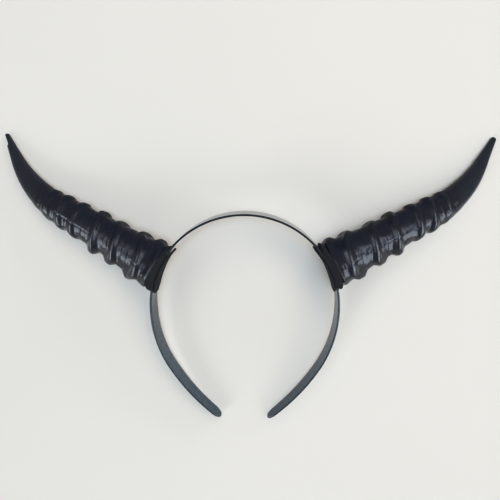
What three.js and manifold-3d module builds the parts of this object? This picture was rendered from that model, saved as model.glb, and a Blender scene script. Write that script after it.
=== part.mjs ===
// Ringed horn headband, lying on a flat surface. A thin springy band carries a curved horn on each
// side. Each horn sits on a felt base pad, and a felt patch lines the band's inside behind it.
// Millimetres, +Z up. X runs from horn tip to horn tip, and Y from the leg ends to the crown.
import * as THREE from "three";
import { mergeVertices } from "three/addons/utils/BufferGeometryUtils.js";
import Module from "manifold-3d";

const wasm = await Module();
wasm.setup();

const { clamp, degToRad, lerp } = THREE.MathUtils;

// Clearance between pieces that touch, and the distance at which two vertices are one.
const GAP = 0.3;
const SAME_POINT = 1e-4;

// Band. Half of its centreline is a row of arcs, from the crown to a leg end.
const BAND_ARCS = [
  { radius: 66.6, degrees: 87.3 },
  { radius: 87.8, degrees: 34.4 },
  { radius: 163, degrees: 19.2 },
];
const BAND_LENGTH = BAND_ARCS.reduce((sum, arc) => sum + arc.radius * degToRad(arc.degrees), 0);
const BAND_THICKNESS = 1.4;
const CROWN_WIDTH = 21.2;
const LEG_WIDTH = 10.8;
const WIDTH_FALL = 2;
const LEG_END_ROUND = 5.5;
const LEG_END_BLUNT = 0.26;
const EDGE_ROUND = 0.12;
const EDGE_THICKNESS = 0.5;
const WIDTH_COLUMNS = 4;
const CROWN_FLAT = 8;
const BAND_STEPS = 40;
const LEG_END_STEPS = 5;

// The band lies on its leg ends with the crown raised.
const REST_TILT = degToRad(9);

// Horn. The axis runs straight from the base face, turns through one arc, and ends straight.
const HORN_LENGTH = 157.5;
const BEND_START = 84;
const BEND_END = 135;
const BEND = degToRad(34.1);
const HORN_FLATNESS = 0.9;
const TIP_ROUND = 1.6;
const TIP_BLUNT = 0.4;
const HORN_SIDES = 24;
const RINGED_LENGTH = 102;
const RINGED_STEPS = 50;
const SMOOTH_STEPS = 13;

// Radius of the horn between its rings, at distances from the base face.
const HORN_SECTIONS = [
  { at: 0, radius: 16.9 },
  { at: 22, radius: 14.6 },
  { at: 58, radius: 12.2 },
  { at: 88, radius: 10.3 },
  { at: 113, radius: 7.8 },
  { at: 127, radius: 5.9 },
  { at: 145, radius: 3.4 },
  { at: 158, radius: 1.9 },
];

// Rings. Each one crosses the inside of the horn's curve at one distance and the outside at
// another, and stands up by its own height there. On the front and back it is moved by its bow.
const RINGS = [
  { inside: 3.5, insideHeight: 2.2, outside: 0, outsideHeight: 0.4, bow: -3 },
  { inside: 16.8, insideHeight: 2.1, outside: 13.3, outsideHeight: 3.3, bow: -6.2 },
  { inside: 35.8, insideHeight: 1.8, outside: 30.8, outsideHeight: 3.2, bow: -4.6 },
  { inside: 50.8, insideHeight: 2.6, outside: 45.8, outsideHeight: 3.8, bow: -2.2 },
  { inside: 66.8, insideHeight: 1.7, outside: 63.8, outsideHeight: 1.8, bow: 0.4 },
  { inside: 80.3, insideHeight: 1.4, outside: 75.8, outsideHeight: 1.9, bow: -0.4 },
  { inside: 85.3, insideHeight: 0, outside: 83.3, outsideHeight: 0.9, bow: 0 },
  { inside: 91.8, insideHeight: 0.6, outside: 89.3, outsideHeight: 1, bow: 0 },
  { inside: 98.3, insideHeight: 0, outside: 97.3, outsideHeight: 0.4, bow: 0 },
];
const RING_REACH_INSIDE = 5.2;
const RING_REACH_OUTSIDE = 7.3;
const RING_BOW_POWER = 6;

// Each side: where the horn's axis crosses the band, as an angle from the crown, the horn's heading
// from the X axis, and how far its base face stands off the band's centreline. The horns are set by
// hand, so the sides differ a little.
const SIDES = [
  { name: "left", mirror: -1, seatDegrees: 66.4, headingDegrees: 29, standoff: 5.1 },
  { name: "right", mirror: 1, seatDegrees: 63.7, headingDegrees: 27.7, standoff: 4.6 },
];

// Base pad: two soft layers from the horn's base outline down to a saddle around the band.
const PAD_HALF_LENGTH = 18.4;
const PAD_LIP = 1.8;
const PAD_CORNER = 0.6;
const PAD_ROLL = 0.045;
const PAD_LAYERS = 2;
const PAD_SIDES = 40;
const PAD_ROWS = 8;

// Channel cut through the pad for the band.
const CHANNEL_HALF_LENGTH = 32;
const CHANNEL_DEPTH = 6;
const CHANNEL_STEPS = 16;

// Inner patch: a strip with rounded ends on the band's inside.
const PATCH_THICKNESS = 1.5;
const PATCH_EDGE_THICKNESS = 0.6;
const PATCH_HALF_LENGTH = 17.6;
const PATCH_MARGIN = 1.6;
const PATCH_STEPS = 14;
const PATCH_END_POWER = 5;
const PATCH_END_SHARE = 0.45;

const bandPlastic = new THREE.MeshStandardMaterial({ color: 0x24272b, roughness: 0.38, metalness: 0 });
const hornPlastic = new THREE.MeshStandardMaterial({ color: 0x101216, roughness: 0.25, metalness: 0 });
const feltCloth = new THREE.MeshStandardMaterial({ color: 0x0d0d0f, roughness: 0.95, metalness: 0 });

// Point of the band in its own plane. The crown is at the origin, distance is signed towards the
// right leg, offset is outwards from the centreline, and across is along the band's width.
function bandPoint(distance, offset, across) {
  const side = Math.sign(distance) || 1;
  let rest = Math.abs(distance);
  let angle = 0;
  let x = 0;
  let y = 0;
  for (const { radius, degrees } of BAND_ARCS) {
    const turn = Math.min(rest / radius, degToRad(degrees));
    x += radius * (Math.sin(angle + turn) - Math.sin(angle));
    y += radius * (Math.cos(angle + turn) - Math.cos(angle));
    angle += turn;
    rest -= turn * radius;
  }
  const out = { x: Math.sin(angle), y: Math.cos(angle) };
  return new THREE.Vector3(side * (x + offset * out.x), y + offset * out.y, across);
}

// Half width of the band, which narrows towards the leg ends.
function bandHalfWidth(distance) {
  const share = Math.abs(distance) / BAND_LENGTH;
  return lerp(CROWN_WIDTH, LEG_WIDTH, share ** WIDTH_FALL) / 2;
}

// Share of a width that is left on a rounded end: past runs from 0 where the rounding starts to 1
// at the end, where blunt is left.
function roundedEnd(past, blunt) {
  return past > 0 ? Math.sqrt(1 - (1 - blunt ** 2) * past ** 2) : 1;
}

// Half width of the band with its leg ends rounded off.
function roundedHalfWidth(distance) {
  const past = (Math.abs(distance) - (BAND_LENGTH - LEG_END_ROUND)) / LEG_END_ROUND;
  return bandHalfWidth(distance) * roundedEnd(past, LEG_END_BLUNT);
}

// Distances of the band's cross-sections: even steps, with a flat at the crown and close steps at
// the rounded leg ends.
function bandStations() {
  const half = [];
  const straight = BAND_LENGTH - LEG_END_ROUND;
  for (let i = 0; i <= BAND_STEPS; i += 1) {
    half.push(lerp(CROWN_FLAT / 2, straight, i / BAND_STEPS));
  }
  for (let i = 1; i <= LEG_END_STEPS; i += 1) {
    half.push(straight + LEG_END_ROUND * Math.sin((Math.PI / 2) * (i / LEG_END_STEPS)));
  }
  return [...half.map((distance) => -distance).reverse(), ...half];
}

// Slab that follows the band: inner and outer are offsets from the centreline, and its long edges
// are thinned to edge times the thickness. Across it are the two edges, the lines where the
// thinning starts, and the middle line.
function bentSlab({ stations, inner, outer, halfWidth, edge = 1 }) {
  const geometry = new THREE.BoxGeometry(1, 1, 1, stations.length - 1, 1, WIDTH_COLUMNS);
  const position = geometry.getAttribute("position");
  for (let i = 0; i < position.count; i += 1) {
    const distance = stations[Math.round((position.getX(i) + 0.5) * (stations.length - 1))];
    const column = Math.round(position.getZ(i) * WIDTH_COLUMNS);
    const atEdge = Math.abs(column) === WIDTH_COLUMNS / 2;
    const share = Math.sign(column) * (atEdge ? 1 : 1 - EDGE_ROUND);
    const thickness = (outer - inner) * (atEdge ? edge : 1);
    const offset = (outer + inner) / 2 + position.getY(i) * thickness;
    const point = bandPoint(distance, offset, share * halfWidth(distance));
    position.setXYZ(i, point.x, point.y, point.z);
  }
  return geometry;
}

// Evenly spaced values from first to last.
function steps(first, last, count) {
  return Array.from({ length: count + 1 }, (_, i) => lerp(first, last, i / count));
}

const hornRadius = new THREE.CubicInterpolant(
  HORN_SECTIONS.map((section) => section.at),
  HORN_SECTIONS.map((section) => section.radius),
  1,
);

// Height of a ring at a distance d from its crest: a smooth hump that ends at reach.
function ringHump(d, reach) {
  return Math.abs(d) < reach ? Math.cos((Math.PI / 2) * (d / reach)) ** 2 : 0;
}

// Radius of the horn at a distance from its base face. Outward is -1 on the inside of the curve
// and +1 on the outside.
function hornOutline(distance, outward) {
  const share = (1 + outward) / 2;
  let radius = hornRadius.evaluate(distance)[0];
  for (const ring of RINGS) {
    const bow = ring.bow * (1 - outward ** RING_BOW_POWER);
    const crest = lerp(ring.inside, ring.outside, share) + bow;
    const reach = lerp(RING_REACH_INSIDE, RING_REACH_OUTSIDE, share);
    const height = lerp(ring.insideHeight, ring.outsideHeight, share);
    radius += height * ringHump(distance - crest, reach);
  }
  const past = (distance - (HORN_LENGTH - TIP_ROUND)) / TIP_ROUND;
  return radius * roundedEnd(past, TIP_BLUNT);
}

// Turn and place of the horn's axis: it starts along +Y and bends towards -X.
function hornAxis(distance) {
  const bendRadius = (BEND_END - BEND_START) / BEND;
  const turn = BEND * clamp((distance - BEND_START) / (BEND_END - BEND_START), 0, 1);
  const after = Math.max(distance - BEND_END, 0);
  const before = Math.min(distance, BEND_START);
  const x = -bendRadius * (1 - Math.cos(turn)) - after * Math.sin(turn);
  const y = before + bendRadius * Math.sin(turn) + after * Math.cos(turn);
  return { x, y, turn };
}

// Point on the horn: outward and front are its direction from the axis, 1 long on the surface.
function hornPoint(distance, outward, front) {
  const { x, y, turn } = hornAxis(distance);
  const length = Math.hypot(outward, front);
  const radius = hornOutline(distance, length > 0 ? outward / length : 0);
  const across = outward * radius;
  return new THREE.Vector3(
    x + across * Math.cos(turn),
    y + across * Math.sin(turn),
    front * radius * HORN_FLATNESS,
  );
}

// Closed horn: a cylinder whose rows are sent to the horn's cross-sections.
function hornGeometry() {
  const tipStart = HORN_LENGTH - TIP_ROUND;
  const stations = [
    ...steps(0, RINGED_LENGTH, RINGED_STEPS),
    ...steps(RINGED_LENGTH, tipStart, SMOOTH_STEPS).slice(1),
    HORN_LENGTH - TIP_ROUND / 2,
    HORN_LENGTH,
  ];
  const rows = stations.length - 1;
  const geometry = new THREE.CylinderGeometry(1, 1, 1, HORN_SIDES, rows);
  const position = geometry.getAttribute("position");
  for (let i = 0; i < position.count; i += 1) {
    const distance = stations[Math.round((position.getY(i) + 0.5) * rows)];
    const point = hornPoint(distance, position.getX(i), position.getZ(i));
    position.setXYZ(i, point.x, point.y, point.z);
  }
  return geometry;
}

// A closed geometry as a solid that can be cut.
function solidOf(geometry) {
  const bare = geometry.clone();
  bare.deleteAttribute("normal");
  bare.deleteAttribute("uv");
  const merged = mergeVertices(bare, SAME_POINT);
  const vertProperties = new Float32Array(merged.getAttribute("position").array);
  const triVerts = new Uint32Array(merged.index.array);
  return new wasm.Manifold(new wasm.Mesh({ numProp: 3, vertProperties, triVerts }));
}

// The first geometry with the second one cut away.
function cutAway(geometry, tool) {
  const mesh = solidOf(geometry).subtract(solidOf(tool)).getMesh();
  const cut = new THREE.BufferGeometry();
  cut.setAttribute("position", new THREE.BufferAttribute(mesh.vertProperties, 3));
  cut.setIndex(new THREE.BufferAttribute(mesh.triVerts, 1));
  cut.computeVertexNormals();
  return cut;
}

// Base pad, in the frame that the horn is placed in. Its rows run from the saddle on the band to
// the horn's base face, and each layer swells a little.
function padGeometry(seatDistance, bandMatrix, hornMatrix) {
  const geometry = new THREE.CylinderGeometry(1, 1, 1, PAD_SIDES, PAD_ROWS);
  const position = geometry.getAttribute("position");
  const saddleHalfWidth = bandHalfWidth(seatDistance) + GAP + PAD_LIP;
  const square = (value) => Math.sign(value) * Math.abs(value) ** PAD_CORNER;
  for (let i = 0; i < position.count; i += 1) {
    const up = position.getY(i) + 0.5;
    const swell = 1 + PAD_ROLL * Math.abs(Math.sin(PAD_LAYERS * Math.PI * up));
    const outward = position.getX(i) * swell;
    const front = position.getZ(i) * swell;
    const high = hornPoint(0, outward, front);
    high.y -= GAP;
    high.applyMatrix4(hornMatrix);
    const along = seatDistance + PAD_HALF_LENGTH * square(outward);
    const low = bandPoint(along, -BAND_THICKNESS / 2, saddleHalfWidth * square(front));
    low.applyMatrix4(bandMatrix);
    const point = low.lerp(high, up);
    position.setXYZ(i, point.x, point.y, point.z);
  }
  const channel = bentSlab({
    stations: steps(seatDistance - CHANNEL_HALF_LENGTH, seatDistance + CHANNEL_HALF_LENGTH, CHANNEL_STEPS),
    inner: -CHANNEL_DEPTH,
    outer: BAND_THICKNESS / 2 + GAP,
    halfWidth: (distance) => bandHalfWidth(distance) + GAP,
  });
  return cutAway(geometry, channel.applyMatrix4(bandMatrix));
}

// Inner patch, in the band's own plane.
function patchGeometry(seatDistance) {
  const ends = steps(-1, 1, PATCH_STEPS).map((share) => Math.sin((Math.PI / 2) * share));
  return bentSlab({
    stations: ends.map((end) => seatDistance + PATCH_HALF_LENGTH * end),
    inner: -BAND_THICKNESS / 2 - GAP - PATCH_THICKNESS,
    outer: -BAND_THICKNESS / 2 - GAP,
    halfWidth: (distance) => {
      const end = Math.abs(distance - seatDistance) / PATCH_HALF_LENGTH;
      const round = 1 - (1 - PATCH_END_SHARE) * end ** PATCH_END_POWER;
      return (bandHalfWidth(seatDistance) + PATCH_MARGIN) * round;
    },
    edge: PATCH_EDGE_THICKNESS,
  });
}

function namedMesh(name, geometry, material) {
  const mesh = new THREE.Mesh(geometry, material);
  mesh.name = name;
  return mesh;
}

const headpiece = new THREE.Group();

// The band is tilted, then raised until its leg ends touch the surface.
const band = new THREE.Group();
band.rotation.x = REST_TILT;
const headband = namedMesh(
  "headband",
  bentSlab({
    stations: bandStations(),
    inner: -BAND_THICKNESS / 2,
    outer: BAND_THICKNESS / 2,
    halfWidth: roundedHalfWidth,
    edge: EDGE_THICKNESS,
  }),
  bandPlastic,
);
band.add(headband);
band.position.z = -new THREE.Box3().setFromObject(band, true).min.z;
band.updateMatrix();
headpiece.add(band);

for (const { name, mirror, seatDegrees, headingDegrees, standoff } of SIDES) {
  const side = new THREE.Group();
  side.scale.x = mirror;
  headpiece.add(side);

  // The horn's axis starts on the band's centreline and dips until the tip touches the surface.
  const seatDistance = BAND_ARCS[0].radius * degToRad(seatDegrees);
  const seat = bandPoint(seatDistance, 0, 0).applyMatrix4(band.matrix);
  const tip = hornAxis(HORN_LENGTH);
  const tipRadius = hornOutline(HORN_LENGTH - TIP_ROUND, 0) * HORN_FLATNESS;
  const dip = Math.asin((seat.z - tipRadius) / (standoff + tip.y));
  const horn = namedMesh(`${name}_horn`, hornGeometry(), hornPlastic);
  horn.rotation.set(-dip, 0, degToRad(headingDegrees - 90), "ZXY");
  horn.position.copy(seat);
  horn.translateY(standoff);
  horn.updateMatrix();
  side.add(horn);

  side.add(namedMesh(`${name}_base_pad`, padGeometry(seatDistance, band.matrix, horn.matrix), feltCloth));
  const patch = patchGeometry(seatDistance).applyMatrix4(band.matrix);
  side.add(namedMesh(`${name}_inner_patch`, patch, feltCloth));
}

// The origin is the middle of the footprint, on the surface.
const box = new THREE.Box3().setFromObject(headpiece, true);
const middle = box.getCenter(new THREE.Vector3());
headpiece.position.set(-middle.x, -middle.y, -box.min.z);

export default headpiece;
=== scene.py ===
"""Looks of a ringed horn headband that lies on a pale floor.

Each class below is one sub-assembly, one finish or one part of the studio. Lengths
are millimetres in the classes and metres in the meshes. X runs from horn tip to horn
tip, Y from the leg ends to the crown, and Z up from the floor.
"""

import logging
import math
from dataclasses import dataclass
from enum import Enum

import bmesh
import bpy
import numpy as np
from mathutils import Matrix, Vector, noise


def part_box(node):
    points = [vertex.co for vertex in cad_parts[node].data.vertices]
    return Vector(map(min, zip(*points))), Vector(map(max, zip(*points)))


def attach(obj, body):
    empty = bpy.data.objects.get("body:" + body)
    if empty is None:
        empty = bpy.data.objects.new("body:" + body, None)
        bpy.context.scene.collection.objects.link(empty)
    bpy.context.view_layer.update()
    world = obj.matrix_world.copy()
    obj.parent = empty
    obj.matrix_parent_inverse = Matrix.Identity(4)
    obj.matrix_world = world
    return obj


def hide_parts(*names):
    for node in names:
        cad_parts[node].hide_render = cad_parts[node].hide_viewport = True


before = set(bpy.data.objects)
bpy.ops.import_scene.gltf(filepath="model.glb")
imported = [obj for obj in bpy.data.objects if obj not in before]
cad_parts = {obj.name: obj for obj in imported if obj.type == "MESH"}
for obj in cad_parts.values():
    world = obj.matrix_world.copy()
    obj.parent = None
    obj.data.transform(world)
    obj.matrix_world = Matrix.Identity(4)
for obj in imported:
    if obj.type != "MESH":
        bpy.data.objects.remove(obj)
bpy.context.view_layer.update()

LOG = logging.getLogger("horn_headband")
MM = 0.001
BODY = "root"

Array = np.ndarray
Piece = bpy.types.Object
Material = bpy.types.Material
Socket = bpy.types.NodeSocket
Span = tuple[float, float]
Triple = tuple[float, float, float]
Colour = tuple[float, float, float, float]

HORN_MAP = "horn_places"
# pale painted highlights along ring crests and mould seams, kept on the horns' vertices
HORN_PAINTED_SHINE = "horn_painted_shine"
BAND_MAP = "band_places"

UNIT: Span = (0.0, 1.0)
PLAIN_SCALE: Triple = (1.0, 1.0, 1.0)
NO_HEIGHT: Triple = (1.0, 1.0, 0.0)
COMBINED_CURVE = 3


class Side(Enum):
    """Side of the band, as seen from above with the crown at the far end."""

    LEFT = -1
    RIGHT = 1

    @property
    def label(self) -> str:
        """Return the side's name as the nodes spell it."""
        return self.name.lower()


class Slot(Enum):
    """Material slots of the part's record."""

    BAND = "band_plastic"
    HORN = "horn_plastic"
    FELT = "felt"


class Tint(Enum):
    """Colours of the studio's light."""

    DAY = (0.88, 0.95, 1.0)
    SKY = (0.92, 0.96, 1.0)
    COOL = (0.70, 0.85, 0.96)
    PLAIN = (1.0, 0.98, 0.95)
    WARM = (1.0, 0.86, 0.70)


class Draw(Enum):
    """Shifts that give each kind of detail its own field of lumps."""

    LUMPS = 0.0
    RIPPLES = 5.0
    # lumps that break up the painted crest highlights
    PAINTED_HIGHLIGHTS = 11.0
    WRINKLES = 19.0
    PITS = 31.0
    PATCHES = 57.0
    SWAY = 83.0


def eased(value: Array, start: float, end: float) -> Array:
    """Rise smoothly from 0, where the value is start, to 1, where it is end."""
    share = np.clip((value - start) / (end - start), 0.0, 1.0)
    return share * share * (3.0 - 2.0 * share)


def blended(first: Array | float, last: Array | float, share: Array) -> Array:
    """Mix two values: first at share 0, last at share 1."""
    return first + (last - first) * share


def relief(places: Array, grain: float, draw: float) -> Array:
    """Sample smooth lumps.

    Args:
        places: points in millimetres, with x, y and z on the last axis.
        grain: size of a lump.
        draw: shift that picks another field of lumps.

    Returns:
        Heights from about -1 to 1, in the shape of places without its last axis.
    """
    rows = places.reshape(-1, 3) / grain + draw
    heights = np.array([noise.noise(row) for row in rows.tolist()])
    return heights.reshape(places.shape[:-1])


def rounded_end(past: Array, blunt: float) -> Array:
    """Return the share of a width on a rounded end: 1 where past is 0, blunt where it is 1."""
    return np.sqrt(1.0 - (1.0 - blunt**2) * np.clip(past, 0.0, 1.0) ** 2)


def bell(value: Array, width: float) -> Array:
    """Rise to 1 at the value 0 and fall away on both sides, over about a width."""
    return np.exp(-((value / width) ** 2))


def signed_power(value: Array, power: Array | float) -> Array:
    """Raise values to a power and keep their signs."""
    return np.sign(value) * np.abs(value) ** power


def crowded(rows: int) -> Array:
    """Return numbers from -1 to 1 that lie closer together near both ends."""
    return np.sin(np.linspace(-1.0, 1.0, rows) * math.pi / 2)


def mesh_piece(name: str, points: Array, faces: list) -> Piece:
    """Make a smooth-shaded piece whose faces point outwards.

    Args:
        name: name of the piece.
        points: vertices in millimetres.
        faces: vertex numbers of each face.

    Returns:
        The new object, linked to the scene.
    """
    mesh = bpy.data.meshes.new(name)
    mesh.from_pydata((points * MM).tolist(), [], faces)
    work = bmesh.new()
    work.from_mesh(mesh)
    bmesh.ops.recalc_face_normals(work, faces=work.faces)
    work.to_mesh(mesh)
    work.free()
    mesh.shade_smooth()
    piece = bpy.data.objects.new(name, mesh)
    bpy.context.scene.collection.objects.link(piece)
    return piece


def with_ends(grid: Array) -> Array:
    """Return a tube's vertices in one list, with the middles of its two end rows last."""
    ends = np.stack([grid[0].mean(axis=0), grid[-1].mean(axis=0)])
    return np.concatenate([grid.reshape(-1, 3), ends])


def tube_piece(name: str, grid: Array) -> Piece:
    """Make a closed tube with a fan of triangles on each end.

    Args:
        name: name of the piece.
        grid: vertices in millimetres: rows along the tube, columns around it.

    Returns:
        The new object. The two fan centres follow the grid's own vertices.
    """
    rows, columns = grid.shape[:2]
    row, column = np.meshgrid(np.arange(rows - 1), np.arange(columns), indexing="ij")
    here = row * columns + column
    beside = row * columns + (column + 1) % columns
    walls = np.stack([here, beside, beside + columns, here + columns], axis=-1).reshape(-1, 4)
    around = np.arange(columns)
    after = (around + 1) % columns
    first = rows * columns
    last = first + 1
    top = (rows - 1) * columns
    caps = [(first, int(b), int(a)) for a, b in zip(around, after)]
    caps += [(last, top + int(a), top + int(b)) for a, b in zip(around, after)]
    return mesh_piece(name, with_ends(grid), walls.tolist() + caps)


def store_map(piece: Piece, name: str, grid: Array) -> None:
    """Keep a grid of texture places, in millimetres, on the vertices of a tube."""
    layer = piece.data.attributes.new(name, "FLOAT_VECTOR", "POINT")
    layer.data.foreach_set("vector", with_ends(grid).astype(np.float32).ravel())


@dataclass(frozen=True)
class Lumps:
    """A noise texture of a finish.

    Counts is the span of its values that shows. Bump is a depth in metres and a strength.
    """

    scale: float
    detail: float = 3.0
    counts: Span = UNIT
    stretch: Triple = PLAIN_SCALE
    bump: Span = (0.0, 0.0)


class NodeBoard:
    """A material's node tree, with short ways to add to it."""

    def __init__(self, name: str) -> None:
        """Start a material with one Principled surface.

        Args:
            name: name of the material.
        """
        self.material = bpy.data.materials.new(name)
        self.material.use_nodes = True
        self.tree = self.material.node_tree
        self.surface = self.tree.nodes["Principled BSDF"]

    def set(self, **values: Socket | float | Colour) -> None:
        """Set or link the surface's own sockets.

        Args:
            values: socket names in lower case with underscores, and what feeds them.
        """
        for name, value in values.items():
            socket = name.replace("_", " ").title().replace("Ior", "IOR")
            self.feed(self.surface.inputs[socket], value)

    def add(self, kind: str, inputs: dict | None = None, **settings: object) -> bpy.types.Node:
        """Add a node.

        Args:
            kind: Blender's name for the node's type.
            inputs: socket names with a value or another node's output socket.
            settings: the node's own properties.

        Returns:
            The new node.
        """
        node = self.tree.nodes.new(kind)
        for name, value in settings.items():
            setattr(node, name, value)
        for name, value in (inputs or {}).items():
            self.feed(node.inputs[name], value)
        return node

    def feed(self, socket: Socket, value: object) -> None:
        """Link an output to a socket, or set the socket's value.

        Args:
            socket: input to feed.
            value: an output socket or a plain value.
        """
        if isinstance(value, Socket):
            self.tree.links.new(value, socket)
        else:
            socket.default_value = value

    def places(self, attribute: str, stretch: Triple = PLAIN_SCALE) -> Socket:
        """Read a stored map, stretched along its axes.

        Args:
            attribute: name of the stored map.
            stretch: factor for each axis.

        Returns:
            The places as a vector output.
        """
        read = self.add("ShaderNodeAttribute", attribute_name=attribute)
        inputs = {0: read.outputs["Vector"], 1: stretch}
        scale = self.add("ShaderNodeVectorMath", inputs, operation="MULTIPLY")
        return scale.outputs["Vector"]

    def object_places(self) -> Socket:
        """Return places in the object's own space, in metres."""
        return self.add("ShaderNodeTexCoord").outputs["Object"]

    def lumps(self, places: Socket, kind: Lumps) -> Socket:
        """Return the value of a noise texture as an output."""
        inputs = {"Vector": places, "Scale": kind.scale, "Detail": kind.detail}
        return self.add("ShaderNodeTexNoise", inputs).outputs["Fac"]

    def ranged(self, value: Socket, source: Span, target: Span = UNIT) -> Socket:
        """Return an output mapped from the source range to the target range, and clamped."""
        ends = zip(("From Min", "From Max", "To Min", "To Max"), source + target)
        return self.add("ShaderNodeMapRange", {"Value": value, **dict(ends)}).outputs["Result"]

    def worked(self, operation: str, *values: Socket | float) -> Socket:
        """Return the result of a sum, a product or another operation as an output."""
        node = self.add("ShaderNodeMath", dict(enumerate(values)), operation=operation)
        return node.outputs["Value"]

    def shades(self, value: Socket, dark: Socket | Colour, light: Socket | Colour) -> Socket:
        """Mix two colours by a value.

        Args:
            value: 0 for dark, 1 for light.
            dark: first colour.
            light: second colour.

        Returns:
            The colour's output.
        """
        mix = self.add("ShaderNodeMix", data_type="RGBA")
        colours = [socket for socket in mix.inputs if socket.type == "RGBA"]
        self.feed(mix.inputs["Factor"], value)
        self.feed(colours[0], dark)
        self.feed(colours[1], light)
        return next(socket for socket in mix.outputs if socket.type == "RGBA")

    def raise_by(self, height: Socket, kind: Lumps, under: Socket | None = None) -> Socket:
        """Add a bump.

        Args:
            height: output to read as a height.
            kind: texture whose bump is used.
            under: normal of a bump below this one.

        Returns:
            The normal's output.
        """
        depth, strength = kind.bump
        inputs = {"Height": height, "Distance": depth, "Strength": strength}
        bump = self.add("ShaderNodeBump", inputs)
        if under is not None:
            self.feed(bump.inputs["Normal"], under)
        return bump.outputs["Normal"]

    def shine_by(self, level: Socket) -> None:
        """Let an output drive the surface's specular level."""
        self.set(specular_ior_level=level)

    def finish(self, colour: Socket, roughness: Socket, normal: Socket) -> Material:
        """Link base colour, roughness and bumped normal, and return the finished material."""
        self.set(base_color=colour, roughness=roughness, normal=normal)
        return self.material


@dataclass(frozen=True)
class CastGloss:
    """Glossy black cast plastic: patchy gloss, painted highlights on crests and seams, a dull
    inside and a satin tip with a painted sheen.
    """

    dark: Colour = (0.011, 0.0135, 0.024, 1.0)
    light: Colour = (0.016, 0.0195, 0.034, 1.0)
    # paler colour of the painted sheen towards the tip
    tip_painted_sheen: Colour = (0.017, 0.021, 0.036, 1.0)
    # colour of the painted highlights on ring crests and seams
    bright_painted_shine: Colour = (0.125, 0.140, 0.165, 1.0)
    ior: float = 1.5
    gloss: Span = (0.16, 0.28)
    shine: Span = (0.03, 0.32)
    shine_across: Span = (-9.5, -2.5)
    satin: float = 0.16
    satin_along: Span = (92.0, 118.0)
    cloud: Lumps = Lumps(0.11, counts=(0.35, 0.65))
    grain: Lumps = Lumps(2.2, 4.0, bump=(0.0001, 0.2))
    streak: Lumps = Lumps(0.9, 4.0, (0.35, 0.7), (1.0, 0.15, 0.15), (0.00015, 0.09))

    def make(self) -> Material:
        """Make the material.

        Returns:
            The horns' finish.
        """
        board = NodeBoard("horn_cast_gloss")
        board.set(ior=self.ior, specular_ior_level=max(self.shine))
        places = board.places(HORN_MAP)
        cloud = board.lumps(places, self.cloud)
        grain = board.lumps(places, self.grain)
        drawn = board.lumps(board.places(HORN_MAP, self.streak.stretch), self.streak)
        parts = board.add("ShaderNodeSeparateXYZ", {"Vector": places}).outputs
        board.shine_by(board.ranged(parts["Y"], self.shine_across, self.shine))
        satin = board.ranged(parts["X"], self.satin_along, (0.0, self.satin))
        tip = board.ranged(parts["X"], self.satin_along)
        patches = board.ranged(cloud, self.cloud.counts, self.gloss)
        colour = board.shades(board.ranged(drawn, self.streak.counts), self.dark, self.light)
        # paint a paler sheen towards the tip
        colour = board.shades(tip, colour, self.tip_painted_sheen)
        # paint pale highlights where the horns store them, along crests and seams
        painted_shine_amount = board.add("ShaderNodeAttribute", attribute_name=HORN_PAINTED_SHINE).outputs["Fac"]
        colour = board.shades(painted_shine_amount, colour, self.bright_painted_shine)
        normal = board.raise_by(drawn, self.streak, board.raise_by(grain, self.grain))
        return board.finish(colour, board.worked("ADD", patches, satin), normal)


@dataclass(frozen=True)
class SemiGlossPlastic:
    """Semi-gloss black band plastic: fine lines, scuffs, and a dull inside, with a painted grey
    reflection of the floor on the legs' inside faces.
    """

    dark: Colour = (0.010, 0.019, 0.029, 1.0)
    light: Colour = (0.016, 0.028, 0.041, 1.0)
    # speckled grey colours of the painted floor reflection on the legs' inside faces
    painted_shine: Colour = (0.050, 0.074, 0.104, 1.0)
    bright_painted_shine: Colour = (0.084, 0.113, 0.150, 1.0)
    ior: float = 1.5
    gloss: Span = (0.10, 0.18)
    shine: Span = (0.2, 0.5)
    inside_offset: Span = (-0.6, -0.3)
    # where along the legs the painted floor reflection shows
    painted_shine_along: Span = (88.0, 145.0)
    scuffed: float = 0.12
    line: Lumps = Lumps(2.0, 4.0, (0.3, 0.7), (0.02, 1.0, 1.0), (0.00015, 0.1))
    cloud: Lumps = Lumps(0.09, counts=(0.35, 0.65))
    scuff: Lumps = Lumps(0.35, 5.0, (0.62, 0.74), (0.3, 1.0, 1.0))
    speckle: Lumps = Lumps(0.9, 2.0, (0.38, 0.62))

    def make(self) -> Material:
        """Make the material.

        Returns:
            The band's finish.
        """
        board = NodeBoard("band_semi_gloss")
        board.set(ior=self.ior, specular_ior_level=max(self.shine))
        places = board.places(BAND_MAP)
        parts = board.add("ShaderNodeSeparateXYZ", {"Vector": places}).outputs
        along = board.worked("ABSOLUTE", parts["X"])
        board.shine_by(board.ranged(parts["Z"], self.inside_offset, self.shine))
        legs = board.ranged(along, self.painted_shine_along)
        inside = board.ranged(parts["Z"], self.inside_offset, (1.0, 0.0))
        lines = board.lumps(board.places(BAND_MAP, self.line.stretch), self.line)
        cloud = board.lumps(places, self.cloud)
        marks = board.lumps(board.places(BAND_MAP, self.scuff.stretch), self.scuff)
        scuffs = board.ranged(marks, self.scuff.counts, (0.0, self.scuffed))
        colour = board.shades(board.ranged(cloud, self.cloud.counts), self.dark, self.light)
        # paint a speckled grey reflection of the floor on the inside faces of the legs
        speckle = board.ranged(board.lumps(places, self.speckle), self.speckle.counts)
        painted_floor_reflection = board.shades(speckle, self.painted_shine, self.bright_painted_shine)
        colour = board.shades(board.worked("MULTIPLY", legs, inside), colour, painted_floor_reflection)
        roughness = board.ranged(lines, self.line.counts, self.gloss)
        roughness = board.worked("ADD", roughness, scuffs)
        return board.finish(colour, roughness, board.raise_by(lines, self.line))


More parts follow.
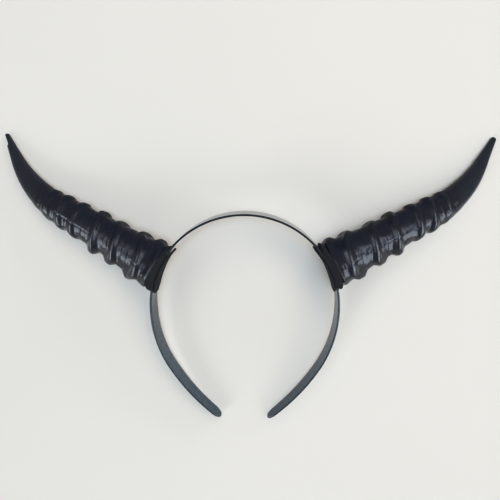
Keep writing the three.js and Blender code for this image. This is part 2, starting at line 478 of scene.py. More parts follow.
@dataclass(frozen=True)
class MatteFelt:
    """Matte black felt: pressed fibres, a soft sheen and pale lint."""

    dark: Colour = (0.011, 0.0125, 0.017, 1.0)
    light: Colour = (0.027, 0.031, 0.041, 1.0)
    shine: float = 0.08
    sheen: float = 0.02
    sheen_roughness: float = 0.5
    sheen_tint: Colour = (0.5, 0.52, 0.58, 1.0)
    roughness: Span = (0.86, 1.0)
    fibre: Lumps = Lumps(2600.0, 6.0, (0.3, 0.72), bump=(0.0003, 0.8))
    tuft: Lumps = Lumps(420.0, counts=(0.3, 0.7), bump=(0.0005, 0.5))

    def make(self) -> Material:
        """Make the material.

        Returns:
            The finish of pads and patches.
        """
        board = NodeBoard("black_felt")
        board.set(specular_ior_level=self.shine, sheen_weight=self.sheen)
        board.set(sheen_roughness=self.sheen_roughness, sheen_tint=self.sheen_tint)
        places = board.object_places()
        fibres = board.lumps(places, self.fibre)
        tufts = board.lumps(places, self.tuft)
        colour = board.shades(board.ranged(fibres, self.fibre.counts), self.dark, self.light)
        roughness = board.ranged(tufts, self.tuft.counts, self.roughness)
        normal = board.raise_by(fibres, self.fibre, board.raise_by(tufts, self.tuft))
        return board.finish(colour, roughness, normal)


@dataclass(frozen=True)
class PaleBoard:
    """Matte pale board of the floor."""

    dark: Colour = (0.76, 0.765, 0.755, 1.0)
    light: Colour = (0.80, 0.80, 0.79, 1.0)
    shine: float = 0.0
    roughness: Span = (0.75, 0.85)
    cloud: Lumps = Lumps(3.0, counts=(0.3, 0.7))
    grain: Lumps = Lumps(900.0, bump=(0.0001, 0.1))

    def make(self) -> Material:
        """Make the material.

        Returns:
            The floor's finish.
        """
        board = NodeBoard("pale_board")
        board.set(specular_ior_level=self.shine)
        places = board.object_places()
        cloud = board.lumps(places, self.cloud)
        grain = board.lumps(places, self.grain)
        colour = board.shades(cloud, self.dark, self.light)
        roughness = board.ranged(cloud, self.cloud.counts, self.roughness)
        return board.finish(colour, roughness, board.raise_by(grain, self.grain))


def dress(piece: Piece, material: Material, node: str) -> None:
    """Give a piece its finish and its place in the part.

    Args:
        piece: the piece.
        material: its finish.
        node: solid that the piece stands for.
    """
    piece.data.materials.clear()
    piece.data.materials.append(material)
    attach(piece, BODY)
    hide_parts(node)
    LOG.info("%s: %d faces, %s", piece.name, len(piece.data.polygons), material.name)


@dataclass(frozen=True)
class Arc:
    """One arc of the band's centreline."""

    radius: float
    degrees: float


@dataclass
class Headband:
    """The band: a thin strip, wide at the crown and narrow at its rounded leg ends."""

    arcs: tuple[Arc, ...] = (Arc(66.6, 87.3), Arc(87.8, 34.4), Arc(163.0, 19.2))
    thickness: float = 1.4
    crown_width: float = 21.2
    leg_width: float = 10.8
    width_fall: float = 2.0
    leg_end_round: float = 7.0
    leg_end_blunt: float = 0.2
    leg_end_thinning: float = 0.9
    edge_round: float = 0.35
    left_lean: float = 0.75
    lean_from: float = 90.0
    lean_to: float = 112.0
    rest_tilt: float = 9.0
    rows: int = 420
    edge_columns: int = 10
    face_columns: int = 10

    def __post_init__(self) -> None:
        """Find the band's place from its solid."""
        self.place = np.zeros(3)
        grid = self.points(*self.strip())
        low, high = (np.array(corner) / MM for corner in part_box("headband"))
        own_low = grid.min(axis=(0, 1))
        own_high = grid.max(axis=(0, 1))
        middle = (low[0] + high[0] - own_low[0] - own_high[0]) / 2
        self.place = np.array([middle, high[1] - own_high[1], low[2] - own_low[2]])

    @property
    def length(self) -> float:
        """Length of half the centreline."""
        return sum(arc.radius * math.radians(arc.degrees) for arc in self.arcs)

    def half_width(self, distance: Array) -> Array:
        """Return half the band's width at distances from the crown."""
        share = np.abs(distance) / self.length
        return blended(self.crown_width, self.leg_width, share**self.width_fall) / 2

    def points(self, distance: Array, offset: Array, across: Array) -> Array:
        """Find points of the band as it lies on the floor.

        Args:
            distance: way along the centreline, signed towards the right leg.
            offset: way outwards from the centreline.
            across: way along the band's width, upwards.

        Returns:
            Points in millimetres, with x, y and z on the last axis.
        """
        half = self.half_width(distance)
        lean = self.left_lean * eased(-distance, self.lean_from, self.lean_to)
        offset = offset - lean * (half - across) / (2 * half)
        side = np.where(distance < 0, -1.0, 1.0)
        rest = np.abs(distance)
        angle = np.zeros_like(rest)
        x = np.zeros_like(rest)
        y = np.zeros_like(rest)
        for arc in self.arcs:
            turn = np.minimum(rest / arc.radius, math.radians(arc.degrees))
            x = x + arc.radius * (np.sin(angle + turn) - np.sin(angle))
            y = y + arc.radius * (np.cos(angle + turn) - np.cos(angle))
            angle = angle + turn
            rest = rest - turn * arc.radius
        x = side * (x + offset * np.sin(angle))
        y = y + offset * np.cos(angle)
        tilt = math.radians(self.rest_tilt)
        raised = across * math.cos(tilt) + y * math.sin(tilt)
        back = y * math.cos(tilt) - across * math.sin(tilt)
        return np.stack(np.broadcast_arrays(x, back, raised), axis=-1) + self.place

    def section(self) -> tuple[Array, Array]:
        """Outline the cross-section: round edges and flat faces.

        Returns:
            Shares of half the thickness, and two rows: shares of the flat width and the rounding.
        """
        turn = np.linspace(-math.pi / 2, math.pi / 2, self.edge_columns)
        face = np.linspace(1.0, -1.0, self.face_columns + 2)[1:-1]
        edge_ones = np.ones_like(turn)
        face_ones = np.ones_like(face)
        offset = np.concatenate([np.sin(turn), face_ones, -np.sin(turn), -face_ones])
        edge = np.concatenate([np.cos(turn), 0 * face, -np.cos(turn), 0 * face])
        share = np.concatenate([edge_ones, face, -edge_ones, -face])
        return offset, np.stack([share, edge])

    def end_past(self, distance: Array, reach: float) -> Array:
        """Return how far into a leg's last reach distances are: 0 at its start, 1 at the end."""
        return (np.abs(distance) - (self.length - reach)) / reach

    def strip(self) -> tuple[Array, Array, Array]:
        """Lay out the band's grid, denser at the leg ends.

        Returns:
            Distance, offset and across for each vertex.
        """
        even = np.linspace(-self.length, self.length, self.rows)
        rows = np.concatenate([self.length * crowded(self.rows), even])
        distance = np.sort(rows)[:, None]
        past = self.end_past(distance, self.leg_end_round)
        width = self.half_width(distance) * rounded_end(past, self.leg_end_blunt)
        past = self.end_past(distance, self.leg_end_thinning)
        thickness = self.thickness / 2 * rounded_end(past, self.leg_end_blunt)
        offset_share, (share, edge) = self.section()
        rounding = np.minimum(self.edge_round, width)
        across = share * (width - rounding) + edge * rounding
        return np.broadcast_to(distance, across.shape), offset_share * thickness, across

    def build(self, finish: SemiGlossPlastic) -> Piece:
        """Make and dress the band.

        Args:
            finish: finish of the band.

        Returns:
            The band's object.
        """
        distance, offset, across = self.strip()
        piece = tube_piece("band", self.points(distance, offset, across))
        store_map(piece, BAND_MAP, np.stack([distance, across, offset], axis=-1))
        dress(piece, finish.make(), "headband")
        return piece


@dataclass(frozen=True)
class Section:
    """Radius of a horn between its rings, at a distance from its base face."""

    at: float
    radius: float


@dataclass(frozen=True)
class Ring:
    """A ring: where it crosses the curve's inside and outside, its heights there, and its bow."""

    inside: float
    inside_height: float
    outside: float
    outside_height: float
    bow: float


@dataclass(frozen=True)
class GrowthLine:
    """A fine raised line beside a ring: the ring's number, its way from the crest, its height."""

    ring: int
    offset: float
    height: float


@dataclass
class Horn:
    """One horn: a straight ringed root and a smooth curved tip, cast in black.

    Ways along the horn start at its base face. Angles around it are 0 on the outside of its
    curve and a quarter turn on its front.
    """

    # how this horn sits on the band, and what is its own
    side: Side
    band: Headband
    seat_degrees: float
    heading_degrees: float
    standoff: float
    root: float
    chip: float
    seams: tuple[Span, ...]
    # strength of this horn's painted crest highlights
    painted_shine_amount: float
    draw: float
    # axis and ends
    length: float = 157.5
    bend_start: float = 84.0
    bend_end: float = 135.0
    bend_degrees: float = 34.1
    tip_round: float = 1.6
    tip_blunt: float = 0.25
    base_round: float = 0.5
    base_blunt: float = 0.9853
    base_skew: float = 0.15
    skew_length: float = 16.0
    chip_length: float = 9.5
    chip_step: float = 0.8
    chip_side: Span = (0.0, 0.6)
    # cross-section
    flatness: float = 0.9
    root_blend: float = 12.0
    front_roll: float = 0.34
    roll_start: float = 20.0
    roll_end: float = 90.0
    inside_square: float = 0.34
    # rings
    reach_inside: float = 4.5
    reach_outside: float = 6.4
    bow_power: int = 6
    outline_sharpness: float = 1.5
    front_sharpness: float = 5.0
    crest_flat: float = 0.88
    crest_flat_power: int = 8
    fade_power: int = 4
    # small relief of the casting
    bead_height: float = 0.12
    bead_reach: float = 0.9
    lump_height: float = 0.4
    lump_grain: float = 6.0
    wrinkle_height: float = 0.14
    wrinkle_grain: float = 3.0
    wrinkle_stretch: float = 0.22
    wrinkle_lean: float = 2.2
    patch_grain: float = 9.0
    patch_range: Span = (0.0, 0.3)
    sway_reach: float = 1.3
    sway_grain: float = 12.0
    crest_sway: float = 0.3
    pit_height: float = 0.05
    pit_grain: float = 2.2
    detail_fade: Span = (90.0, 108.0)
    # mould seams, growth lines, and painted highlights on crests and seams
    seam_degrees: float = 80.0
    seam_height: float = 0.34
    seam_width: float = 0.6
    seam_drop: float = 1.3
    seam_groove: float = 0.8
    seam_fade: float = 2.0
    seam_painted_shine: float = 0.6
    line_reach: float = 0.6
    line_least: float = 0.4
    # width, patchiness and front band of the painted crest highlights
    painted_shine_reach: float = 0.55
    painted_shine_grain: float = 7.0
    painted_shine_range: Span = (-0.5, 0.3)
    painted_shine_inside: Span = (-0.3, 0.1)
    painted_shine_outside: Span = (0.6, 0.85)
    # keel along the front
    keel_degrees: float = 72.0
    keel_height: float = 0.5
    keel_above: float = 8.0
    keel_below: float = 5.0
    # mesh, with more columns on the front
    rows: int = 520
    tip_rows: int = 8
    base_rows: int = 6
    columns: int = 160
    dense_degrees: float = 62.0
    dense_share: float = 0.5
    # radii, rings and growth lines from base to tip
    sections: tuple[Section, ...] = (
        Section(0.0, 16.9),
        Section(22.0, 14.6),
        Section(58.0, 12.2),
        Section(88.0, 10.3),
        Section(113.0, 7.8),
        Section(127.0, 5.9),
        Section(145.0, 3.4),
        Section(158.0, 1.9),
    )
    rings: tuple[Ring, ...] = (
        Ring(3.5, 2.2, 0.0, 0.4, -3.0),
        Ring(16.8, 2.1, 13.3, 3.3, -6.2),
        Ring(35.8, 1.8, 30.8, 3.2, -4.6),
        Ring(50.8, 2.6, 45.8, 3.8, -2.2),
        Ring(66.8, 1.7, 63.8, 1.8, 0.4),
        Ring(80.3, 1.4, 75.8, 1.9, -0.4),
        Ring(85.3, 0.0, 83.3, 0.9, 0.0),
        Ring(91.8, 0.6, 89.3, 1.0, 0.0),
        Ring(98.3, 0.0, 97.3, 0.4, 0.0),
    )
    growth_lines: tuple[GrowthLine, ...] = (
        GrowthLine(0, 5.0, 0.16),
        GrowthLine(1, 4.6, 0.2),
        GrowthLine(1, 7.0, 0.16),
        GrowthLine(1, 11.5, 0.14),
        GrowthLine(2, 5.4, 0.18),
        GrowthLine(2, 9.0, 0.14),
        GrowthLine(3, 6.5, 0.16),
        GrowthLine(3, 10.0, 0.12),
        GrowthLine(4, 5.5, 0.14),
    )

    def plain_radius(self, distance: Array) -> Array:
        """Draw a smooth curve through the sections.

        Args:
            distance: way from the base face.

        Returns:
            The radius between the rings.
        """
        distance = np.maximum(distance, 0.0)
        at = np.array([section.at for section in self.sections])
        radius = np.array([section.radius for section in self.sections])
        slope = np.gradient(radius, at)
        index = np.clip(np.searchsorted(at, distance, side="right") - 1, 0, len(at) - 2)
        span = at[index + 1] - at[index]
        t = (distance - at[index]) / span
        start = (1 + 2 * t) * (1 - t) ** 2 * radius[index] + t * (1 - t) ** 2 * span * slope[index]
        end = t**2 * (3 - 2 * t) * radius[index + 1] + t**2 * (t - 1) * span * slope[index + 1]
        return start + end

    def axis(self, distance: Array) -> tuple[Array, Array, Array]:
        """Follow the horn's axis: straight along Y, through one arc towards -X, and straight.

        Args:
            distance: way from the base face.

        Returns:
            X, Y and the turn so far.
        """
        bend = math.radians(self.bend_degrees)
        span = self.bend_end - self.bend_start
        bend_radius = span / bend
        turn = bend * np.clip((distance - self.bend_start) / span, 0.0, 1.0)
        after = np.maximum(distance - self.bend_end, 0.0)
        before = np.minimum(distance, self.bend_start)
        x = -bend_radius * (1 - np.cos(turn)) - after * np.sin(turn)
        y = before + bend_radius * np.sin(turn) + after * np.cos(turn)
        return x, y, turn

    def crest(self, ring: Ring, outward: Array) -> tuple[Array, Array]:
        """Follow a ring's crest around the horn.

        Args:
            ring: the ring.
            outward: -1 on the inside of the curve, 1 on the outside.

        Returns:
            The crest's distance from the base face, and its height.
        """
        share = (1 + outward) / 2
        at = blended(ring.inside, ring.outside, share) + ring.bow * (1 - outward**self.bow_power)
        return at, blended(ring.inside_height, ring.outside_height, share)

    def ringed_radius(self, distance: Array, outward: Array) -> Array:
        """Return the radius with the rings, which are sharper on the front than at the outline.

        Args:
            distance: way from the base face.
            outward: -1 on the inside of the curve, 1 on the outside.

        Returns:
            Radii, without the rounding of the tip.
        """
        reach = blended(self.reach_inside, self.reach_outside, (1 + outward) / 2)
        power = blended(self.front_sharpness, self.outline_sharpness, outward**2)
        radius = self.plain_radius(distance)
        for ring in self.rings:
            at, height = self.crest(ring, outward)
            past = np.clip((distance - at) / reach, -1.0, 1.0)
            radius = radius + height * self.flattened(np.cos(past * math.pi / 2) ** power)
        return radius

    def flattened(self, rise: Array) -> Array:
        """Give a ring a narrow flat along its crest.

        Args:
            rise: the ring's rise, 0 to 1.

        Returns:
            The rise with the flat.
        """
        power = self.crest_flat_power
        share = (1 + self.crest_flat**-power) / (1 + (rise / self.crest_flat) ** power)
        return rise * share ** (1 / power)

    def surface_places(self, distance: Array, angle: Array, radius: Array) -> Array:
        """Return distance, way outwards and way to the front, as places for lumps and textures."""
        return np.stack([distance, radius * np.cos(angle), radius * np.sin(angle)], axis=-1)

    def field(self, places: Array, grain: float, kind: Draw) -> Array:
        """Return this horn's own lumps of one kind."""
        return relief(places, grain, self.draw + kind.value)

    def sway(self, places: Array) -> Array:
        """Return how far the ring lines wander along the horn at each place."""
        return self.sway_reach * self.field(places, self.sway_grain, Draw.SWAY)

    def seamed(self, distance: Array) -> Array:
        """Find where a mould seam shows along the horn.

        Args:
            distance: way from the base face.

        Returns:
            1 where a seam shows and 0 elsewhere.
        """
        fade = self.seam_fade
        return sum(
            eased(distance, first - fade, first) - eased(distance, last, last + fade)
            for first, last in self.seams
        )

    def below_line(self, degrees: float, angle: Array, radius: Array) -> Array:
        """Return the way around the horn down from a line along its front."""
        return radius * (math.radians(degrees) - angle)

    def crest_line(
        self, ring: Ring, distance: Array, outward: Array, sway: Array, reach: float
    ) -> Array:
        """Draw the narrow line along a ring's crest.

        Args:
            ring: the ring.
            distance: way from the base face.
            outward: -1 on the inside of the curve, 1 on the outside.
            sway: how far the line wanders along the horn.
            reach: half the line's width.

        Returns:
            Shares from 0 to 1.
        """
        at, height = self.crest(ring, outward)
        line = bell(distance - at - self.crest_sway * sway, reach)
        return line * np.minimum(height, 1.0) * (1 - outward**self.fade_power)

    def painted_crest_shine(self, distance: Array, angle: Array, places: Array) -> Array:
        """Find where pale highlights are painted along ring crests and mould seams on the front.

        Args:
            distance: way from the base face.
            angle: way around the horn.
            places: the same points from surface_places.

        Returns:
            Shares from 0 to 1.
        """
        outward = np.cos(angle)
        sway = self.sway(places)
        front = eased(outward, *self.painted_shine_inside) * (angle > 0)
        front = front * (1 - eased(outward, *self.painted_shine_outside))
        lines = sum(
            self.crest_line(ring, distance, outward, sway, self.painted_shine_reach) for ring in self.rings
        )
        patchy = eased(self.field(places, self.painted_shine_grain, Draw.PAINTED_HIGHLIGHTS), *self.painted_shine_range)
        radius = np.hypot(places[..., 1], places[..., 2])
        below = self.below_line(self.seam_degrees, angle, radius)
        seam = self.seamed(distance) * bell(below, self.seam_width)
        return np.clip(self.painted_shine_amount * lines * front * patchy + self.seam_painted_shine * seam, 0.0, 1.0)

    def cast_detail(self, distance: Array, angle: Array, radius: Array) -> Array:
        """Return the small relief of the casting, in millimetres.

        Args:
            distance: way from the base face.
            angle: way around the horn, 0 on the curve's outside and a quarter turn on the front.
            radius: radius with the rings.

        Returns:
            Heights to add to the radius.
        """
        outward = np.cos(angle)
        share = (1 + outward) / 2
        places = self.surface_places(distance, angle, radius)
        ringed = 1 - eased(distance, *self.detail_fade)
        lumps = self.field(places, self.lump_grain, Draw.LUMPS)
        pits = self.field(places, self.pit_grain, Draw.PITS)
        patch = eased(self.field(places, self.patch_grain, Draw.PATCHES), *self.patch_range)
        sway = self.sway(places)
        lean = blended(self.wrinkle_lean, -self.wrinkle_lean, share)
        drawn = places + np.stack([lean, 0 * share, 0 * share], axis=-1)
        drawn = drawn * (1.0, self.wrinkle_stretch, self.wrinkle_stretch)
        wrinkles = self.field(drawn, self.wrinkle_grain, Draw.WRINKLES)
        detail = self.lump_height * lumps + self.pit_height * pits
        detail = detail + self.wrinkle_height * patch * wrinkles
        for ring in self.rings:
            bead = self.crest_line(ring, distance, outward, sway, self.bead_reach)
            detail = detail + self.bead_height * (1 + lumps) * bead
        for line in self.growth_lines:
            at, _ = self.crest(self.rings[line.ring], outward)
            height = line.height * (self.line_least + patch) * (1 - outward**self.fade_power)
            detail = detail + height * bell(distance - at - line.offset - sway, self.line_reach)
        below = self.below_line(self.seam_degrees, angle, radius)
        fin = bell(below, self.seam_width)
        groove = bell(below - self.seam_drop, self.seam_width)
        ridge = fin - self.seam_groove * groove
        detail = detail + self.seam_height * self.seamed(distance) * ridge
        below = self.below_line(self.keel_degrees, angle, radius)
        keel = np.exp(-np.abs(below) / np.where(below > 0, self.keel_below, self.keel_above))
        return (detail + self.keel_height * keel) * ringed

    def outline(self, distance: Array, angle: Array) -> Array:
        """Find the finished radius: rings, detail, rounded ends and the chipped tip.

        Args:
            distance: way from the base face.
            angle: way around the horn.

        Returns:
            The radii.
        """
        radius = self.ringed_radius(distance, np.cos(angle))
        radius = radius + self.cast_detail(distance, angle, radius)
        past_tip = (distance - (self.length - self.tip_round)) / self.tip_round
        tip = rounded_end(past_tip, self.tip_blunt)
        past_base = (self.base_round - self.root - distance) / self.base_round
        base = rounded_end(past_base, self.base_blunt)
        chip_start = self.length - self.chip_length
        chipped = eased(distance, chip_start, chip_start + self.chip_step)
        chipped = chipped * eased(np.cos(angle), *self.chip_side)
        return radius * tip * base - self.chip * chipped

    def local_points(self, distance: Array, angle: Array, radius: Array) -> Array:
        """Find points in the horn's own frame, with the base face at Y 0.

        Args:
            distance: way from the base face.
            angle: way around the horn.
            radius: radius there.

        Returns:
            Points in millimetres.
        """
        x, y, turn = self.axis(distance)
        outward = np.cos(angle)
        upward = np.sin(angle)
        across = radius * outward
        shaped = eased(distance, 0.0, self.root_blend) * (upward > 0)
        rolled = shaped * (1 - eased(distance, self.roll_start, self.roll_end))
        squared = shaped * (1 - eased(distance, self.bend_start, self.length))
        power = 1 - self.inside_square * squared * (1 - outward) / 2
        height = signed_power(upward, power) * (1 - self.front_roll * rolled * outward)
        front = radius * height * self.flatness
        skewed = 1 - eased(distance, 0.0, self.skew_length)
        y = y - self.base_skew * np.maximum(front, 0.0) * skewed
        return np.stack([x + across * np.cos(turn), y + across * np.sin(turn), front], axis=-1)

    def placed(self, local: Array) -> Array:
        """Send points from the horn's own frame to where it sits on the band.

        Args:
            local: points in the horn's own frame.

        Returns:
            Points in the part's frame, in millimetres.
        """
        band_place = self.band.place * NO_HEIGHT
        middle = np.zeros(())
        seat = self.band.points(np.array(self.seat_distance), middle, middle) - band_place
        tip_distance = np.array(self.length - self.tip_round)
        tip_radius = self.ringed_radius(tip_distance, np.array(0.0)) * self.flatness
        reach = self.standoff + self.axis(np.array(self.length))[1]
        dip = math.asin((seat[2] - tip_radius) / reach)
        heading = Matrix.Rotation(math.radians(self.heading_degrees - 90), 3, "Z")
        turn = heading @ Matrix.Rotation(-dip, 3, "X")
        moved = (local + (0, self.standoff, 0)) @ np.array(turn).T + seat
        return moved * (self.side.value, 1, 1) + band_place

    @property
    def seat_distance(self) -> float:
        """Way along the band from the crown to the horn's axis."""
        return self.band.arcs[0].radius * math.radians(self.seat_degrees)

    def build(self, material: Material) -> Piece:
        """Make and dress the horn.

        Args:
            material: the cast finish.

        Returns:
            The horn's object.
        """
        quarter = np.linspace(0, math.pi / 2, self.tip_rows)
        tip = self.length - self.tip_round * (1 - np.sin(quarter))
        base = np.linspace(0.0, self.base_round, self.base_rows) - self.root
        body = np.linspace(base[-1], self.length - self.tip_round, self.rows)
        distance = np.concatenate([base[:-1], body[:-1], tip])[:, None]
        turn = np.linspace(-math.pi, math.pi, self.columns, endpoint=False)[None, :]
        angle = math.radians(self.dense_degrees) + turn - self.dense_share * np.sin(turn)
        distance, angle = np.broadcast_arrays(distance, angle)
        angle = (angle + math.pi) % (2 * math.pi) - math.pi
        radius = self.outline(distance, angle)
        name = f"{self.side.label}_ringed_horn"
        piece = tube_piece(name, self.placed(self.local_points(distance, angle, radius)))
        places = self.surface_places(distance, angle, radius)
        # store where pale highlights are painted along crests and seams
        painted_shine = self.painted_crest_shine(distance, angle, places)
        store_map(piece, HORN_MAP, places)
        store_map(piece, HORN_PAINTED_SHINE, np.stack([painted_shine, painted_shine, painted_shine], axis=-1))
        dress(piece, material, f"{self.side.label}_horn")
        return piece


@dataclass
class BasePad:
    """Wedge of felt layers between a horn's base and the band, with lips past the band's edges."""

    horn: Horn
    end_roll: float
    gap: float = 0.3
    half_length: float = 18.4
    lip: float = 1.8
    corner: float = 0.6
    clearance: float = 0.1
    layer_ends: tuple[float, ...] = (0.0, 0.35, 0.86, 1.0)
    front_roll: float = 0.3
    roll_sink: float = 0.8
    tuft: float = 0.22
    tuft_grain: float = 2.6
    channel_half_length: float = 32.0
    channel_depth: float = 6.0
    channel_rows: int = 40
    rows: int = 44
    columns: int = 180

    def wall(self, up: Array, angle: Array) -> Array:
        """Find points of the pad's wall.

        Args:
            up: 0 at the saddle on the band, 1 at the horn's base face.
            angle: way around the pad.

        Returns:
            Points in the part's frame, in millimetres.
        """
        band = self.horn.band
        seat = self.horn.seat_distance
        base = np.full_like(angle, -self.horn.root)
        high = self.horn.local_points(base, angle, self.horn.ringed_radius(base, np.cos(angle)))
        high = self.horn.placed(high - (0, self.clearance, 0))
        outward = signed_power(np.cos(angle), self.corner)
        front = signed_power(np.sin(angle), self.corner)
        half_width = band.half_width(np.array(seat)) + self.gap + self.lip
        along = self.horn.side.value * (seat + self.half_length * outward)
        low = band.points(along, np.full_like(along, -band.thickness / 2), half_width * front)
        return blended(low, high, up[..., None])

    def build(self, material: Material) -> Piece:
        """Make and dress the pad.

        Args:
            material: the felt.

        Returns:
            The pad's object.
        """
        up = np.linspace(0.0, 1.0, self.rows)[:, None]
        angle = np.linspace(-math.pi, math.pi, self.columns, endpoint=False)[None, :]
        up, angle = np.broadcast_arrays(up, angle)
        grid = self.wall(up, angle)
        middle = grid.mean(axis=1, keepdims=True)
        outwards = grid - middle
        outwards = outwards / np.linalg.norm(outwards, axis=-1, keepdims=True)
        ends = np.array(self.layer_ends)
        layer = np.clip(np.searchsorted(ends, up, side="right") - 1, 0, len(ends) - 2)
        fold = 2 * (up - ends[layer]) / (ends[layer + 1] - ends[layer]) - 1
        bulge = np.where(layer < len(ends) - 2, np.sqrt(1 - np.minimum(fold**2, 1.0)), 0.0)
        roll = blended(self.front_roll, self.end_roll, np.cos(angle) ** 2)
        fuzz = self.horn.field(grid, self.tuft_grain, Draw.LUMPS)
        grid = grid + outwards * (roll * (bulge - self.roll_sink) + self.tuft * fuzz)[..., None]
        piece = tube_piece(f"{self.horn.side.label}_felt_pad", grid)
        self.cut_channel(piece)
        dress(piece, material, f"{self.horn.side.label}_base_pad")
        return piece

    def cut_channel(self, piece: Piece) -> None:
        """Cut the way for the band out of the pad.

        Args:
            piece: the pad's object.
        """
        band = self.horn.band
        reach = self.channel_half_length
        span = np.linspace(-reach, reach, self.channel_rows)[:, None]
        along = self.horn.side.value * (self.horn.seat_distance + span)
        half_width = band.half_width(along) + self.gap
        outer = band.thickness / 2 + self.gap
        offset = np.array([outer, outer, -self.channel_depth, -self.channel_depth])[None, :]
        across = half_width * np.array([-1.0, 1.0, 1.0, -1.0])[None, :]
        along, offset, across = np.broadcast_arrays(along, offset, across)
        tool = tube_piece("channel", band.points(along, offset, across))
        cut = piece.modifiers.new("channel", "BOOLEAN")
        cut.operation = "DIFFERENCE"
        cut.object = tool
        shapes = bpy.context.evaluated_depsgraph_get()
        mesh = bpy.data.meshes.new_from_object(piece.evaluated_get(shapes))
        piece.modifiers.clear()
        piece.data = mesh
        bpy.data.objects.remove(tool)


@dataclass
class InnerPatch:
    """Thin felt strip with rounded ends that lines the band's inside behind a horn."""

    horn: Horn
    peel: float
    gap: float = 0.3
    thickness: float = 1.5
    half_length: float = 17.6
    margin: float = 1.6
    end_power: float = 5.0
    end_share: float = 0.45
    edge_power: float = 0.25
    face_power: float = 0.4
    peel_length: float = 8.0
    wave: float = 0.12
    wave_grain: float = 3.0
    rows: int = 120
    columns: int = 64

    @property
    def flat_size(self) -> Span:
        """Width and length of the cut strip, in metres."""
        half = float(self.horn.band.half_width(np.array(self.horn.seat_distance)))
        return 2 * (half + self.margin) * MM, 2 * self.half_length * MM

    def build(self, material: Material) -> Piece:
        """Make and dress the patch.

        Args:
            material: the felt.

        Returns:
            The patch's object.
        """
        band = self.horn.band
        seat = self.horn.seat_distance
        end = crowded(self.rows)[:, None]
        turn = np.linspace(0.0, 2 * math.pi, self.columns, endpoint=False)[None, :]
        round_end = 1 - (1 - self.end_share) * np.abs(end) ** self.end_power
        half_width = self.flat_size[0] / MM / 2 * round_end
        across = half_width * signed_power(np.cos(turn), self.edge_power)
        face = signed_power(np.sin(turn), self.face_power)
        peel_start = self.half_length - self.peel_length
        lift = self.peel * eased(-end * self.half_length, peel_start, self.half_length)
        middle = -band.thickness / 2 - self.gap - self.thickness / 2 - lift
        along = self.horn.side.value * (seat + self.half_length * end)
        offset = middle + face * self.thickness / 2
        along, offset, across = np.broadcast_arrays(along, offset, across)
        grid = band.points(along, offset, across)
        ripple = self.wave * self.horn.field(grid, self.wave_grain, Draw.RIPPLES)
        grid = band.points(along, offset - np.maximum(ripple, -self.gap / 2), across)
        piece = tube_piece(f"{self.horn.side.label}_felt_patch", grid)
        dress(piece, material, f"{self.horn.side.label}_inner_patch")
        self.flat_size
        return piece


@dataclass(frozen=True)
class SoftLight:
    """One large soft lamp, in metres, that faces the headband."""

    name: str
    place: Triple
    size: Span
    glow: float
    tint: Tint
    mirrored: bool = True
    lit: bool = True
    target: Triple = (0.0, 0.0, 0.05)

    def build(self) -> Piece:
        """Make the lamp.

        Returns:
            The lamp's object.
        """
        lamp = bpy.data.lights.new(self.name, "AREA")
        lamp.shape = "RECTANGLE"
        lamp.size, lamp.size_y = self.size
        lamp.energy = self.glow * math.pi * self.size[0] * self.size[1]
        lamp.color = self.tint.value
        holder = bpy.data.objects.new(self.name, lamp)
        holder.location = self.place
        aim = Vector(self.target) - Vector(self.place)
        holder.rotation_euler = aim.to_track_quat("-Z", "Y").to_euler()
        holder.visible_glossy = self.mirrored
        holder.visible_diffuse = self.lit
        bpy.context.scene.collection.objects.link(holder)
        return holder


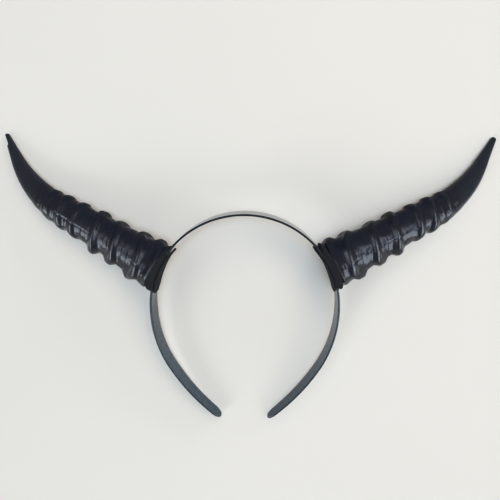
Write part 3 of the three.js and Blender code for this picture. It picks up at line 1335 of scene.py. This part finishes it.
@dataclass
class Studio:
    """Pale floor, soft light and the camera above the headband."""

    floor_half: float = 3.0
    ambient: Colour = (0.16, 0.16, 0.16, 1.0)
    camera_place: Triple = (10.495, 33.489, 364.625)
    camera_back: Triple = (0.0213, 0.0369, 0.9991)
    camera_up: Triple = (-0.0119, 0.9993, -0.0367)
    lens: float = 34.56
    sensor: float = 36.0
    nearest: float = 0.01
    tone: tuple[Span, ...] = (
        (0.022, 0.020),
        (0.06, 0.042),
        (0.12, 0.095),
        (0.25, 0.24),
        (0.5, 0.5),
    )
    lamps: tuple[SoftLight, ...] = (
        SoftLight("right_window", (1.0, -0.8, 0.36), (0.9, 0.72), 6.0, Tint.DAY, lit=False),
        SoftLight("right_skylight", (0.95, -0.7, 1.4), (1.1, 0.7), 5.2, Tint.SKY, lit=False),
        SoftLight("right_strip", (1.35, -0.1, 1.1), (0.5, 0.5), 3.4, Tint.SKY, lit=False),
        SoftLight("left_window", (-1.0, -0.8, 0.38), (0.9, 0.8), 6.0, Tint.DAY, lit=False),
        SoftLight("left_skylight", (-0.95, -0.7, 1.4), (1.1, 0.7), 3.4, Tint.SKY, lit=False),
        SoftLight("left_strip", (-1.35, -0.1, 1.1), (0.5, 0.5), 2.4, Tint.SKY, lit=False),
        SoftLight("overhead", (0.0, 0.0, 2.4), (0.7, 0.7), 11.0, Tint.COOL, mirrored=False),
        SoftLight("overhead_right", (0.45, 0.0, 1.95), (0.8, 0.8), 3.5, Tint.PLAIN, mirrored=False),
        SoftLight("back_right", (0.65, 0.65, 1.8), (0.9, 0.9), 2.0, Tint.WARM, mirrored=False),
        SoftLight("right_side", (1.35, 0.0, 1.45), (0.9, 0.9), 1.5, Tint.WARM, mirrored=False),
        SoftLight("back", (0.0, 1.35, 1.45), (0.9, 0.9), 2.0, Tint.WARM, mirrored=False),
        SoftLight("front_left", (-2.4, -2.4, 2.0), (1.8, 1.8), 4.0, Tint.PLAIN, mirrored=False),
        SoftLight("front_right", (2.4, -2.4, 2.0), (1.8, 1.8), 2.0, Tint.WARM, mirrored=False),
        SoftLight("low_back_right", (2.7, 2.7, 1.0), (1.6, 1.6), 5.5, Tint.PLAIN, mirrored=False),
    )

    def build_floor(self) -> None:
        """Lay the pale floor under the headband."""
        half = self.floor_half / MM
        corners = np.array([[-half, -half, 0], [half, -half, 0], [half, half, 0], [-half, half, 0]])
        floor = mesh_piece("floor", corners, [(0, 1, 2, 3)])
        floor.data.materials.append(PaleBoard().make())

    def build_light(self) -> None:
        """Set the soft lamps and the even light of the room."""
        for lamp in self.lamps:
            lamp.build()
        world = bpy.data.worlds.new("room")
        world.use_nodes = True
        world.node_tree.nodes["Background"].inputs["Color"].default_value = self.ambient
        bpy.context.scene.world = world

    def build_camera(self) -> None:
        """Set the camera above the headband, looking down."""
        back = Vector(self.camera_back).normalized()
        right = Vector(self.camera_up).cross(back).normalized()
        up = back.cross(right)
        lens = bpy.data.cameras.new("camera")
        lens.lens = self.lens
        lens.sensor_width = self.sensor
        lens.clip_start = self.nearest
        camera = bpy.data.objects.new("camera", lens)
        turn = Matrix((right, up, back)).transposed().to_4x4()
        camera.matrix_world = Matrix.Translation(Vector(self.camera_place) * MM) @ turn
        bpy.context.scene.collection.objects.link(camera)
        bpy.context.scene.camera = camera
        self.set_tone(bpy.context.scene.view_settings)

    def set_tone(self, view: bpy.types.ColorManagedViewSettings) -> None:
        """Give the picture a plain transform with a little more contrast in its dark tones.

        Args:
            view: the scene's view settings.
        """
        view.view_transform = "Standard"
        view.use_curve_mapping = True
        curve = view.curve_mapping.curves[COMBINED_CURVE]
        for place in self.tone:
            curve.points.new(*place)
        view.curve_mapping.update()

    def build(self) -> None:
        """Build the whole studio."""
        self.build_floor()
        self.build_light()
        self.build_camera()


def main() -> None:
    """Build the headband's pieces in order, then the studio."""
    logging.basicConfig(level=logging.INFO, format="%(message)s")
    band = Headband()
    band.build(SemiGlossPlastic())
    gloss = CastGloss().make()
    felt = MatteFelt().make()
    # each horn gets its own strength of painted crest highlights
    left = Horn(
        Side.LEFT, band, seat_degrees=66.4, heading_degrees=29.0, standoff=5.1, root=2.2,
        chip=1.0, seams=((8.0, 12.0), (50.0, 80.0)), painted_shine_amount=0.35, draw=3.0,
    )
    right = Horn(
        Side.RIGHT, band, seat_degrees=63.7, heading_degrees=27.7, standoff=4.6, root=0.8,
        chip=0.0, seams=((9.0, 13.0), (38.0, 47.0)), painted_shine_amount=0.9, draw=47.0,
    )
    peels = {Side.LEFT: 0.6, Side.RIGHT: 0.0}
    rolls = {Side.LEFT: 0.9, Side.RIGHT: 2.7}
    for horn in (left, right):
        horn.build(gloss)
        BasePad(horn, rolls[horn.side]).build(felt)
        InnerPatch(horn, peels[horn.side]).build(felt)
    Studio().build()


if __name__ == "__main__":
    main()
